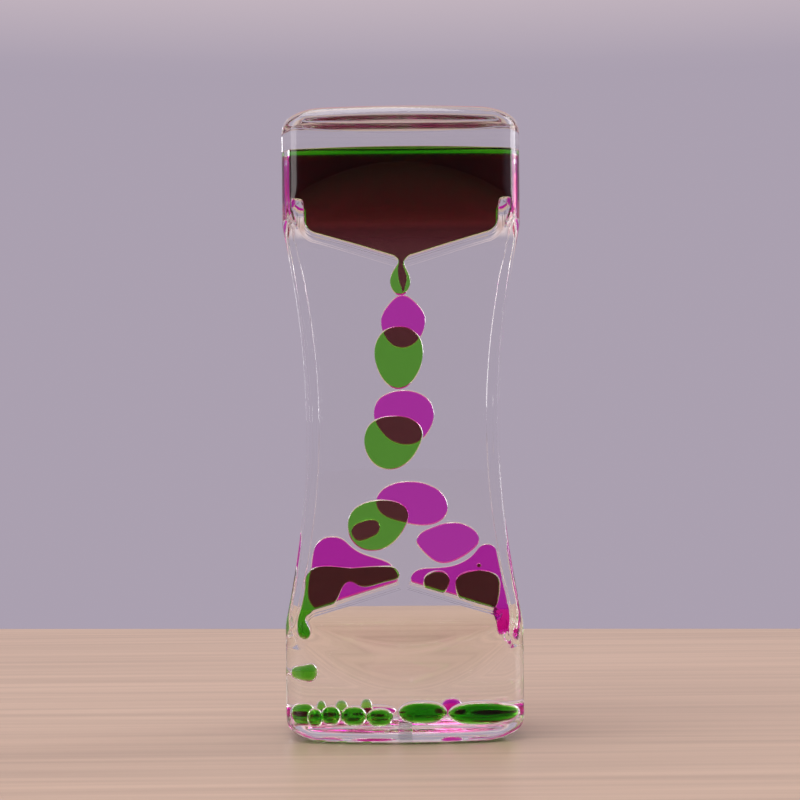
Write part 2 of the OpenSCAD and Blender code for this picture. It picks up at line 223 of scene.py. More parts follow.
def halfSurface(s, angles):
    # one half of a hollow or body as a grid: rows from the bottom's middle to the top's middle
    g = gridSet
    cosT, sinT = np.cos(angles), np.sin(angles)
    planR = solveRays(s, cosT, sinT, np.zeros_like(cosT),
                      lambda x, y, z: planField(s, x, y, np.zeros_like(z)))
    planY = s["start"] + planR * sinT
    shoulder = math.sqrt(s["sideArc"] ** 2 - (s["arcX"] - s["halfW"]) ** 2)
    crease = s["slopeTop"] - (s["halfD"] - planY) / math.tan(s["slope"])
    crease = np.maximum(crease, shoulder)
    low, near = g["waistTop"], g["creaseReach"]
    block = s["halfH"] - s["endCorner"]
    level = 0 * crease
    spans = [(level, level + low, g["waistRows"]), (level + low, crease - near, g["slopeRows"]),
             (crease - near, crease + near, g["creaseRows"]),
             (crease + near, level + block, g["blockRows"])]
    rows = [a + (b - a) * i / n for a, b, n in spans for i in range(n)]
    turns = [math.radians(90 * i / g["edgeRows"]) for i in range(g["edgeRows"] + 1)]
    rows += [level + block + s["endCorner"] * math.sin(t) for t in turns]
    up = np.array(rows)
    z = np.concatenate([-up[:0:-1], up])
    cosG, sinG = np.broadcast_to(cosT, z.shape), np.broadcast_to(sinT, z.shape)
    r = solveRays(s, cosG, sinG, z, lambda x, y, h: bodyField(s, x, y, h))
    x, y = r * cosG, s["start"] + r * sinG
    # the end face: out from the dish rim, then down into the dish
    rimX, rimY = dish["length"] / 2, dish["width"] / 2
    turn = np.arctan2((y[-1] - s["start"]) / rimY, x[-1] / rimX)
    # the rim stays inside the end face's rounded edge
    inset = np.minimum(1, g["rimInset"] * np.hypot(x[-1] / rimX, (y[-1] - s["start"]) / rimY))
    ex, ey = inset * rimX * np.cos(turn), s["start"] + inset * (rimY - s["start"]) * np.sin(turn)
    shares = [1 - i / g["rimRows"] for i in range(1, g["rimRows"])]
    capX = [ex + (x[-1] - ex) * t for t in shares]
    capY = [ey + (y[-1] - ey) * t for t in shares]
    fall = [math.cos(math.radians(90 * i / g["dishRows"])) for i in range(g["dishRows"] + 1)]
    capX += [ex * t for t in fall]
    capY += [s["start"] + (ey - s["start"]) * t for t in fall]
    capX, capY = np.array(capX), np.array(capY)
    capZ = s["halfH"] - dishDepth(capX, capY, s["backing"])
    x = np.concatenate([capX[::-1], x, capX])
    y = np.concatenate([capY[::-1], y, capY])
    z = np.concatenate([-capZ[::-1], z, capZ])
    return np.stack([x, y, z], axis=-1)


class MeshParts:
    # collects grids of points and their faces before they become one mesh

    def __init__(self):
        self.points, self.faces, self.slots, self.count = [], [], [], 0

    def add(self, grid, slot=0, closed=False):
        rows, cols = grid.shape[:2]
        index = np.arange(rows * cols).reshape(rows, cols) + self.count
        if closed:
            index = np.concatenate([index, index[:, :1]], axis=1)
        quads = np.stack([index[:-1, :-1], index[:-1, 1:], index[1:, 1:], index[1:, :-1]], axis=-1)
        self.faces += quads.reshape(-1, 4).tolist()
        self.slots += [slot] * (quads.size // 4)
        self.points.append(grid.reshape(-1, 3))
        self.count += rows * cols

    def addFaces(self, points, faces, slot=0):
        self.faces += [[i + self.count for i in f] for f in faces]
        self.slots += [slot] * len(faces)
        self.points.append(np.array(points, float).reshape(-1, 3))
        self.count += len(points)

    def build(self, name, materials, sharp=40, merge=0.004):
        points = np.concatenate(self.points) * mm
        points[:, 2] += midZ * mm
        mesh = bpy.data.meshes.new(name)
        mesh.from_pydata(points.tolist(), [], self.faces)
        for material in materials:
            mesh.materials.append(material)
        mesh.polygons.foreach_set("material_index", self.slots)
        bm = bmesh.new()
        bm.from_mesh(mesh)
        bmesh.ops.remove_doubles(bm, verts=bm.verts, dist=merge * mm)
        bmesh.ops.dissolve_degenerate(bm, dist=merge * mm * 0.5, edges=bm.edges)
        bmesh.ops.recalc_face_normals(bm, faces=bm.faces)
        bm.to_mesh(mesh)
        bm.free()
        mesh.shade_smooth()
        mesh.set_sharp_from_angle(angle=math.radians(sharp))
        obj = bpy.data.objects.new(name, mesh)
        bpy.context.scene.collection.objects.link(obj)
        return obj


# materials
materialSet = {
    "acrylicIor": 1.49,
    "wettedIor": 1.015,  # acrylic seen from the oil
    "insertIor": 1.008,
    "oilIor": 1.0,  # the oil itself bends nothing more
    "waterIor": 0.91,  # dyed water seen from the oil
    "greenPass": (0.2, 0.66, 0.07),  # linear share of light left after one drop's thickness
    "magentaPass": (0.9, 0.08, 0.72),
    "dropThickness": 3.6,
    "poolThickness": 4.7,
    "beadThickness": 2.4,
}


def newGroup(name, inputs, outputs):
    group = bpy.data.node_groups.new(name, "ShaderNodeTree")
    for label, kind, value in inputs:
        socket = group.interface.new_socket(label, in_out="INPUT", socket_type=kind)
        socket.default_value = value
    for label, kind in outputs:
        group.interface.new_socket(label, in_out="OUTPUT", socket_type=kind)
    return group, group.nodes.new("NodeGroupInput"), group.nodes.new("NodeGroupOutput")


def polishGroup():
    # handling marks and the faint waves of a moulded surface
    group, start, end = newGroup(
        "polishMarks",
        [("Wave Scale", "NodeSocketFloat", 90.0), ("Wave Strength", "NodeSocketFloat", 0.02),
         ("Mark Scale", "NodeSocketFloat", 700.0), ("Low Roughness", "NodeSocketFloat", 0.0),
         ("High Roughness", "NodeSocketFloat", 0.03)],
        [("Roughness", "NodeSocketFloat"), ("Normal", "NodeSocketVector")])
    nodes, links = group.nodes, group.links
    place = nodes.new("ShaderNodeTexCoord")
    stretch = nodes.new("ShaderNodeMapping")
    stretch.inputs["Scale"].default_value = (1.0, 1.0, 0.35)
    wave = nodes.new("ShaderNodeTexNoise")
    wave.inputs["Detail"].default_value = 2.0
    mark = nodes.new("ShaderNodeTexNoise")
    mark.inputs["Detail"].default_value = 4.0
    mark.inputs["Roughness"].default_value = 0.7
    ramp = nodes.new("ShaderNodeMapRange")
    ramp.inputs["From Min"].default_value = 0.52
    ramp.inputs["From Max"].default_value = 0.78
    bump = nodes.new("ShaderNodeBump")
    bump.inputs["Distance"].default_value = 0.0004
    links.new(place.outputs["Object"], stretch.inputs["Vector"])
    links.new(stretch.outputs["Vector"], wave.inputs["Vector"])
    links.new(stretch.outputs["Vector"], mark.inputs["Vector"])
    links.new(start.outputs["Wave Scale"], wave.inputs["Scale"])
    links.new(start.outputs["Mark Scale"], mark.inputs["Scale"])
    links.new(mark.outputs["Fac"], ramp.inputs["Value"])
    links.new(start.outputs["Low Roughness"], ramp.inputs["To Min"])
    links.new(start.outputs["High Roughness"], ramp.inputs["To Max"])
    links.new(start.outputs["Wave Strength"], bump.inputs["Strength"])
    links.new(wave.outputs["Fac"], bump.inputs["Height"])
    links.new(ramp.outputs["Result"], end.inputs["Roughness"])
    links.new(bump.outputs["Normal"], end.inputs["Normal"])
    return group


def tintGroup():
    # a pale colour that varies a little over the surface
    group, start, end = newGroup(
        "tintDrift",
        [("Tint", "NodeSocketColor", (1, 1, 1, 1)), ("Drift", "NodeSocketFloat", 0.05),
         ("Scale", "NodeSocketFloat", 160.0)],
        [("Color", "NodeSocketColor")])
    nodes, links = group.nodes, group.links
    place = nodes.new("ShaderNodeTexCoord")
    cloud = nodes.new("ShaderNodeTexNoise")
    cloud.inputs["Detail"].default_value = 3.0
    amount = nodes.new("ShaderNodeMath")
    amount.operation = "MULTIPLY"
    mix = nodes.new("ShaderNodeMix")
    mix.data_type = "RGBA"
    mix.inputs["B"].default_value = (0.96, 0.95, 0.93, 1)
    links.new(place.outputs["Object"], cloud.inputs["Vector"])
    links.new(start.outputs["Scale"], cloud.inputs["Scale"])
    links.new(cloud.outputs["Fac"], amount.inputs[0])
    links.new(start.outputs["Drift"], amount.inputs[1])
    links.new(amount.outputs["Value"], mix.inputs["Factor"])
    links.new(start.outputs["Tint"], mix.inputs["A"])
    links.new(mix.outputs["Result"], end.inputs["Color"])
    return group


polishMarks = polishGroup()
tintDrift = tintGroup()


def clearMaterial(name, ior, tint=(1, 1, 1), polish=None, transmission=1.0, passed=None, thickness=None,
                  gloss=0.5):
    material = bpy.data.materials.new(name)
    material.use_nodes = True
    nodes, links = material.node_tree.nodes, material.node_tree.links
    shader = nodes["Principled BSDF"]
    shader.inputs["Roughness"].default_value = 0.0
    shader.inputs["IOR"].default_value = ior
    shader.inputs["Transmission Weight"].default_value = transmission
    shader.inputs["Specular IOR Level"].default_value = gloss
    drift = nodes.new("ShaderNodeGroup")
    drift.node_tree = tintDrift
    drift.inputs["Tint"].default_value = (*tint, 1)
    links.new(drift.outputs["Color"], shader.inputs["Base Color"])
    if polish:
        marks = nodes.new("ShaderNodeGroup")
        marks.node_tree = polishMarks
        for label, value in polish.items():
            marks.inputs[label].default_value = value
        links.new(marks.outputs["Normal"], shader.inputs["Normal"])
        links.new(marks.outputs["Roughness"], shader.inputs["Roughness"])
    if passed:
        take = [-math.log(p) / (thickness * mm) for p in passed]
        density = max(take)
        volume = nodes.new("ShaderNodeVolumeAbsorption")
        volume.inputs["Color"].default_value = (*[1 - t / density for t in take], 1)
        volume.inputs["Density"].default_value = density
        links.new(volume.outputs["Volume"], nodes["Material Output"].inputs["Volume"])
    return material


ms = materialSet
acrylic = clearMaterial("clearAcrylic", ms["acrylicIor"], gloss=0.3,
                        polish={"Wave Strength": 0.03, "High Roughness": 0.012})
satinEnds = clearMaterial("satinEnds", ms["acrylicIor"], tint=(1.0, 0.93, 0.9),
                          polish={"Wave Strength": 0.05, "Low Roughness": 0.16, "High Roughness": 0.26})
wetted = clearMaterial("wettedAcrylic", ms["wettedIor"])
insertClear = clearMaterial("clearInsert", ms["insertIor"])
oilClear = clearMaterial("clearOil", ms["oilIor"])
waterTints = {}
for kind, depth in (("Water", "dropThickness"), ("Pool", "poolThickness"), ("Bead", "beadThickness")):
    for colour in ("green", "magenta"):
        waterTints[colour + kind] = clearMaterial(
            colour + kind, ms["waterIor"], passed=ms[colour + "Pass"], thickness=ms[depth])
plugPlastic = clearMaterial("plugPlastic", 1.05, tint=(0.93, 0.93, 0.95), transmission=0.9,
                            polish={"Wave Strength": 0.1, "Low Roughness": 0.05, "High Roughness": 0.2})
print("materials made")

# the two shells of the casing
plugSet = {"diameter": 2.8, "offset": 5.5, "length": 3.2, "chamfer": 0.25, "sides": 48}


def makeShell(name, side):
    outer = halfSurface(casing, columnAngles(17, 37))
    inner = halfSurface(hollow, columnAngles(13, 23))
    parts = MeshParts()
    flip = np.array([1, side, 1])
    parts.add(outer * flip, 0)
    # the end faces are satin
    capRows = gridSet["rimRows"] + gridSet["dishRows"] - 1
    rows, cols = outer.shape[0] - 1, outer.shape[1] - 1
    for row in [*range(capRows), *range(rows - capRows, rows)]:
        parts.slots[row * cols:(row + 1) * cols] = [2] * cols
    parts.add(inner * flip, 1)
    # from the split plane to the rebate that holds the divider, and on to the hollow
    outerLoop = np.concatenate([outer[:, 0], outer[-2:0:-1, -1]])
    innerLoop = np.concatenate([inner[:, 0], inner[-2:0:-1, -1]])
    flat = innerLoop.copy()
    endZ = hollow["halfH"]
    nearEnd = np.abs(flat[:, 0]) < endWidth(hollow, np.array(endZ)) - hollow["endEdge"]
    onCap = nearEnd & (np.abs(flat[:, 2]) > endZ - 2)
    flat[onCap, 2] = np.sign(flat[onCap, 2]) * endZ
    ahead, behind = np.roll(flat, -1, axis=0), np.roll(flat, 1, axis=0)
    along = ahead - behind
    length = np.maximum(np.hypot(along[:, 0], along[:, 2]), 1e-6)
    rebateLoop = flat.copy()
    rebateLoop[:, 0] += along[:, 2] / length * divider["rebate"]
    rebateLoop[:, 2] -= along[:, 0] / length * divider["rebate"]
    rebateTop = rebateLoop.copy()
    rebateTop[:, 1] = casing["start"]
    rebateLoop[:, 1] = hollow["start"]
    parts.add(np.stack([outerLoop, rebateTop, rebateLoop, innerLoop]) * flip, 1, closed=True)
    return parts.build(name, [acrylic, wetted, satinEnds])


for name, side, node in (("frontCasing", -1, "front_shell"), ("rearCasing", 1, "rear_shell")):
    shell = makeShell(name, side)
    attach(shell, "casing")
    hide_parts(node)
    print("shell made:", name, len(shell.data.polygons), "faces")


def hollowDepth(x, z):
    # how far the hollow reaches from the middle plane at x and z
    lens = np.sqrt(np.maximum(hollow["bulge"] ** 2 - x ** 2, 0)) - (hollow["bulge"] - hollow["halfD"])
    return softMin(lens, waistProfile(hollow, np.abs(z)), hollow["creaseRound"] * 0.3)


def hollowWidth(z):
    arc = hollow["arcX"] - np.sqrt(hollow["sideArc"] ** 2 - z ** 2)
    return np.minimum(arc, hollow["halfW"])


# wings: a sloping plate, a bend and an upright skirt
wingSet = {
    "gap": 2.0, "tip": 33.8, "slope": math.radians(17), "thickness": 1.15,
    "skirtX": 21.9, "bend": 4.5, "skirtEnd": 47.0, "bond": 0.1, "steps": 20,
    "rim": 0.12,  # small rounding along the wing's two long edges
    "hangFrom": 19.4,  # past this the water hangs over the wing's end
}


def wingLines(grow=0.0):
    # the outer and inner line of the upper right wing, from its tip to its free end
    w = wingSet
    outerR, innerR = w["bend"] + grow, w["bend"] - w["thickness"] - grow
    bendX = w["skirtX"] - w["bend"]
    reach = (bendX + w["bend"] * math.sin(w["slope"]) - w["gap"] / 2) / math.cos(w["slope"])
    bendZ = w["tip"] + reach * math.sin(w["slope"]) + w["bend"] * math.cos(w["slope"])
    turns = np.linspace(w["slope"] - math.pi / 2, 0, w["steps"])
    lines = []
    for r in (outerR, innerR):
        plate = np.linspace(-reach - grow, 0, 16)[:-1]
        px = bendX + plate * math.cos(w["slope"]) + r * math.sin(w["slope"])
        pz = bendZ + plate * math.sin(w["slope"]) - r * math.cos(w["slope"])
        skirt = np.linspace(bendZ, w["skirtEnd"] + grow, 8)[1:]
        x = np.concatenate([px, bendX + r * np.cos(turns), np.full(len(skirt), bendX + r)])
        z = np.concatenate([pz, bendZ + r * np.sin(turns), skirt])
        lines.append(np.stack([x, z], axis=-1))
    return lines


def makeWing(name, side, up, right):
    outer, inner = wingLines()
    parts = MeshParts()
    rim = wingSet["rim"]
    loops = []
    middle = (outer + inner) / 2
    # how far each loop pulls in, and its share of the way from the divider to the shell
    for inset, share in ((0.5, 0), (0.0, 0.06), (0.0, 1.0), (0.5, 1.06)):
        for line in (outer, inner):
            pulled = line + (middle - line) * (rim * inset * 2 / wingSet["thickness"])
            back = divider["half"] + 0.02
            front = hollowDepth(pulled[:, 0], pulled[:, 1]) - wingSet["bond"]
            low = back + rim * share / 0.06 if share < 0.5 else front - rim + rim * (share - 1) / 0.06
            y = low * np.ones(len(pulled))
            loops.append(np.stack([right * pulled[:, 0], side * y, up * pulled[:, 1]], axis=-1))
    ring = [np.concatenate([loops[i], loops[i + 1][::-1]]) for i in range(0, 8, 2)]
    parts.add(np.stack(ring), 0, closed=True)
    for i in (0, 6):
        parts.add(np.stack([loops[i], loops[i + 1]]), 0)
    return parts.build(name, [insertClear], sharp=50)


for side, sideName in ((-1, "front"), (1, "rear")):
    for up, upName in ((1, "upper"), (-1, "lower")):
        for right, rightName in ((-1, "left"), (1, "right")):
            wing = makeWing(sideName + upName.title() + rightName.title() + "Wing", side, up, right)
            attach(wing, "casing")
            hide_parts(f"{sideName}_{upName}_{rightName}_wing")
print("wings made")


def makePlug(name, side):
    p = plugSet
    r, c = p["diameter"] / 2, p["chamfer"]
    low = -midZ + dish["depth"]
    profile = [(0, low + 0.2), (r * 0.45, low + 0.2), (r * 0.6, low), (r - c, low), (r, low + c),
               (r, low + p["length"] - c), (r - c, low + p["length"]), (0, low + p["length"])]
    turns = np.linspace(0, 2 * math.pi, p["sides"], endpoint=False)
    grid = np.array([[(rr * math.cos(t), side * p["offset"] + rr * math.sin(t), z) for t in turns]
                     for rr, z in profile])
    parts = MeshParts()
    parts.add(grid, 0, closed=True)
    return parts.build(name, [plugPlastic], sharp=30)


for name, side, node in (("frontPlug", -1, "front_fill_plug"), ("rearPlug", 1, "rear_fill_plug")):
    plug = makePlug(name, side)
    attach(plug, "casing")
    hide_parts(node)


# bodies of dyed water
liquidSet = {
    "film": 0.1,  # oil left between the water and the walls
    "dropHalf": 1.8,  # half the thickness of a flattened drop
    "chamberY": 3.175,
    "rim": 0.35,
    "poolRim": 0.3,
    "thinRim": 0.22,  # for specks and narrow necks
    "poolTop": 57.8,
    "gapPool": 43.0,
    "spacing": 0.9,
}


def smoothRing(ring, steps=10):
    # a closed quadratic B-spline round a ring of corners
    ring = np.array(ring, float)
    before, after = np.roll(ring, 1, axis=0), np.roll(ring, -1, axis=0)
    t = np.linspace(0, 1, steps, endpoint=False)[None, :, None]
    a, b, c = before[:, None], ring[:, None], after[:, None]
    return ((1 - t) ** 2 * (a + b) / 2 + 2 * t * (1 - t) * b + t * t * (b + c) / 2).reshape(-1, 2)


def evenLoop(loop, spacing):
    # the same closed line with evenly spaced points, running anticlockwise
    x, z = loop[:, 0], loop[:, 1]
    if np.sum(x * np.roll(z, -1) - np.roll(x, -1) * z) < 0:
        loop = loop[::-1]
    closed = np.concatenate([loop, loop[:1]])
    steps = np.hypot(*np.diff(closed, axis=0).T)
    keep = np.concatenate([[True], steps > 1e-6])
    closed, steps = closed[keep], steps[steps > 1e-6]
    place = np.concatenate([[0], np.cumsum(steps)])
    count = max(24, int(place[-1] / spacing))
    at = np.linspace(0, place[-1], count, endpoint=False)
    return np.stack([np.interp(at, place, closed[:, i]) for i in (0, 1)], axis=-1)


def relaxLoop(loop, rounds):
    for _ in range(rounds):
        loop = 0.25 * np.roll(loop, 1, axis=0) + 0.5 * loop + 0.25 * np.roll(loop, -1, axis=0)
    return loop


def insetLoop(loop, distance):
    along = np.roll(loop, -1, axis=0) - np.roll(loop, 1, axis=0)
    along /= np.maximum(np.hypot(along[:, 0], along[:, 1]), 1e-9)[:, None]
    normal = relaxLoop(np.stack([-along[:, 1], along[:, 0]], axis=-1), 2)
    normal /= np.maximum(np.hypot(normal[:, 0], normal[:, 1]), 1e-9)[:, None]
    return loop + normal * distance


def fillLoop(loop, spacing):
    # triangles over a closed loop, with points inside it; the loop's own points come first
    low, high = loop.min(axis=0), loop.max(axis=0)
    grid = []
    rowStep = spacing * 0.866
    for j in range(int((high[1] - low[1]) / rowStep) + 1):
        z = low[1] + (j + 0.5) * rowStep
        shift = 0.25 if j % 2 else -0.25
        for i in range(int((high[0] - low[0]) / spacing) + 2):
            grid.append((low[0] + (i + shift) * spacing, z))
    grid = np.array(grid).reshape(-1, 2)
    a, b = loop, np.roll(loop, -1, axis=0)
    inside = np.zeros(len(grid), bool)
    nearest = np.full(len(grid), 1e9)
    for (x0, z0), (x1, z1) in zip(a, b):
        crosses = ((z0 > grid[:, 1]) != (z1 > grid[:, 1]))
        with np.errstate(divide="ignore", invalid="ignore"):
            cut = x0 + (grid[:, 1] - z0) / (z1 - z0 + 1e-30) * (x1 - x0)
        inside ^= crosses & (grid[:, 0] < cut)
        nearest = np.minimum(nearest, np.hypot(grid[:, 0] - x0, grid[:, 1] - z0))
    grid = grid[inside & (nearest > spacing * 0.6)]
    points = [Vector(p) for p in np.concatenate([loop, grid]).tolist()]
    ring = list(range(len(loop)))
    verts, _, faces, origins, _, _ = geometry.delaunay_2d_cdt(points, [], [ring], 1, 1e-5)
    back = {i: o[0] for i, o in enumerate(origins) if o}
    flat = np.concatenate([loop, grid])
    faces = [[back[i] for i in f] for f in faces if all(i in back for i in f)]
    return flat, faces


def waterBody(name, loop, backY, frontY, rim, material, side, spacing=None):
    # flat faces and a rounded rim, drawn from the front outline; backY and frontY give how far
    # the two faces lie from the middle plane at x and z
    spacing = spacing or liquidSet["spacing"]
    step = min(0.28, max(0.12, rim * 0.4))
    loop = evenLoop(loop, step)
    parts = MeshParts()
    turns = [math.radians(a) for a in (0, 14, 30, 46, 62, 78, 90)]
    rings = [insetLoop(loop, rim * (1 - math.cos(t))) for t in turns]
    rings.append(insetLoop(loop, rim * 1.3))
    lift = [math.sin(t) for t in turns] + [1.0]
    layers = {1: [], -1: []}
    for ring, share in zip(rings, lift):
        back, front = backY(ring[:, 0], ring[:, 1]), frontY(ring[:, 0], ring[:, 1])
        mid, half = (back + front) / 2, (front - back) / 2
        for face in (1, -1):
            y = mid + face * half * share
            layers[face].append(np.stack([ring[:, 0], side * y, ring[:, 1]], axis=-1))
    wall = layers[-1][::-1] + layers[1][1:]
    parts.add(np.stack(wall), 0, closed=True)
    flat, faces = fillLoop(rings[-1], spacing)
    for face, y in ((1, frontY), (-1, backY)):
        depth = y(flat[:, 0], flat[:, 1])
        points = np.stack([flat[:, 0], side * depth, flat[:, 1]], axis=-1)
        parts.addFaces(points, faces, 0)
    return parts.build(name, [material], sharp=60, merge=0.002)


def dropFaces():
    half, mid = liquidSet["dropHalf"], liquidSet["chamberY"]
    return (lambda x, z: np.full_like(x, mid - half)), (lambda x, z: np.full_like(x, mid + half))


def chamberFaces():
    film = liquidSet["film"]
    back = divider["half"] + 2 * film
    return (lambda x, z: np.full_like(x, back)), (lambda x, z: hollowDepth(x, z) - 1.5 * film)


# flattened drops: the corners each outline runs round, [x, height from mid height]
dropSet = {
    "green_upper_drop": (-1, [
        (-0.4, 20.9), (1.6, 20.5), (3.2, 19.3), (4.2, 17.8), (4.6, 16.0), (4.6, 14.6), (4.3, 12.8),
        (3.6, 11.0), (2.5, 9.3), (1.3, 8.1), (0.0, 7.5), (-1.4, 7.4), (-2.8, 8.0), (-4.1, 9.2),
        (-5.1, 10.9), (-5.8, 12.8), (-6.1, 14.6), (-6.0, 16.4), (-5.4, 18.1), (-4.3, 19.6), (-2.7, 20.6)]),
    "magenta_upper_drop": (1, [
        (0.0, 27.8), (1.1, 27.6), (2.1, 27.0), (3.3, 25.9), (4.4, 24.6), (5.1, 23.2), (5.2, 21.8),
        (4.9, 20.1), (4.1, 18.5), (3.0, 17.3), (1.6, 16.4), (-0.1, 16.1), (-1.9, 16.6), (-3.1, 17.7),
        (-4.0, 19.1), (-4.5, 20.4), (-4.7, 21.8), (-4.5, 23.2), (-3.7, 24.8), (-2.3, 26.4), (-1.1, 27.5)]),
    "green_middle_drop": (-1, [
        (-1.6, 2.0), (0.9, 1.7), (2.8, 0.8), (4.0, -0.5), (4.4, -2.0), (4.1, -3.5), (3.4, -5.1),
        (2.3, -6.9), (0.8, -8.4), (-1.0, -9.4), (-2.9, -9.7), (-4.9, -9.3), (-6.6, -8.1), (-7.8, -6.3),
        (-8.4, -4.2), (-8.3, -2.3), (-7.8, -0.8), (-7.0, 0.3), (-5.7, 1.2), (-4.0, 1.8)]),
    "magenta_middle_drop": (1, [
        (0.2, 7.5), (2.9, 7.1), (4.9, 6.1), (6.3, 4.6), (6.9, 2.6), (6.8, 0.8), (6.0, -1.1), (4.8, -2.8),
        (3.5, -3.9), (1.8, -4.5), (-0.2, -4.5), (-2.4, -3.8), (-4.1, -2.4), (-5.6, -0.4), (-6.3, 1.2),
        (-6.4, 2.9), (-5.9, 4.6), (-4.8, 6.0), (-2.6, 7.1)]),
    "magenta_lower_drop": (1, [
        (-1.7, -12.3), (1.2, -12.0), (4.2, -12.3), (6.7, -13.3), (8.4, -14.6), (9.4, -16.3), (9.7, -18.0),
        (9.3, -19.4), (8.3, -20.6), (6.5, -21.5), (4.1, -21.8), (2.1, -21.6), (0.0, -21.1), (-2.5, -20.4),
        (-4.5, -19.5), (-5.6, -18.3), (-6.1, -16.9), (-6.0, -15.7), (-5.3, -14.5), (-3.9, -13.2)]),
    "green_lower_drop": (-1, [
        (-3.2, -15.8), (-1.0, -16.3), (0.5, -17.3), (1.2, -18.5), (1.2, -19.9), (0.4, -21.8),
        (-0.8, -23.7), (-2.5, -25.4), (-4.5, -26.5), (-6.7, -26.8), (-8.6, -26.5), (-10.1, -25.6),
        (-11.3, -24.2), (-11.9, -22.5), (-12.0, -20.8), (-11.6, -19.1), (-10.4, -17.5), (-8.5, -16.4),
        (-6.0, -15.8)]),
    "magenta_small_drop": (1, [
        (-11.3, -22.2), (-10.7, -21.3), (-9.1, -20.5), (-7.0, -20.0), (-5.5, -20.4), (-4.9, -21.3),
        (-4.9, -22.4), (-5.5, -23.5), (-7.0, -24.3), (-8.7, -24.9), (-9.9, -25.0), (-10.9, -24.2),
        (-11.4, -23.1)]),
    "magenta_landing_drop": (1, [
        (2.4, -24.9), (2.9, -23.7), (4.1, -22.7), (6.0, -22.0), (8.1, -21.2), (9.8, -20.9), (11.8, -20.9),
        (13.8, -21.6), (15.4, -22.7), (16.2, -23.9), (16.3, -24.9), (15.9, -25.9), (14.8, -27.0),
        (13.0, -28.3), (10.8, -29.4), (8.9, -29.9), (7.2, -29.7), (5.7, -28.9), (4.2, -27.5),
        (3.0, -26.1)]),
}
movingNodes = set(frame["bodies"]) & set(dropSet)
colourOf = {-1: "green", 1: "magenta"}  # green water in front of the divider, magenta behind it


def camel(words):
    first, *rest = words.split("_")
    return first + "".join(w.title() for w in rest)


def finishWater(obj, node, body="casing", more=()):
    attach(obj, body)
    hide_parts(node, *more)


for node, (side, ring) in dropSet.items():
    tint = waterTints[colourOf[side] + "Water"]
    back, front = dropFaces()
    drop = waterBody(camel(node) + "Water", smoothRing(ring), back, front, liquidSet["rim"], tint, side)
    finishWater(drop, node, node if node in movingNodes else "casing")
print("drops made")


def roofTop(x):
    # height of the lower wings' upper side
    outer = wingLines()[0]
    return -np.interp(np.abs(x), outer[:, 0], outer[:, 1])


def settleLoop(loop, gap):
    # keeps an outline off the side walls and the roofs
    limit = hollowWidth(loop[:, 1]) - gap
    x = np.clip(loop[:, 0], -limit, limit)
    skirt = np.abs(x) > wingSet["hangFrom"]
    z = np.where(skirt, loop[:, 1], np.maximum(loop[:, 1], roofTop(x) + gap))
    return np.stack([x, z], axis=-1)


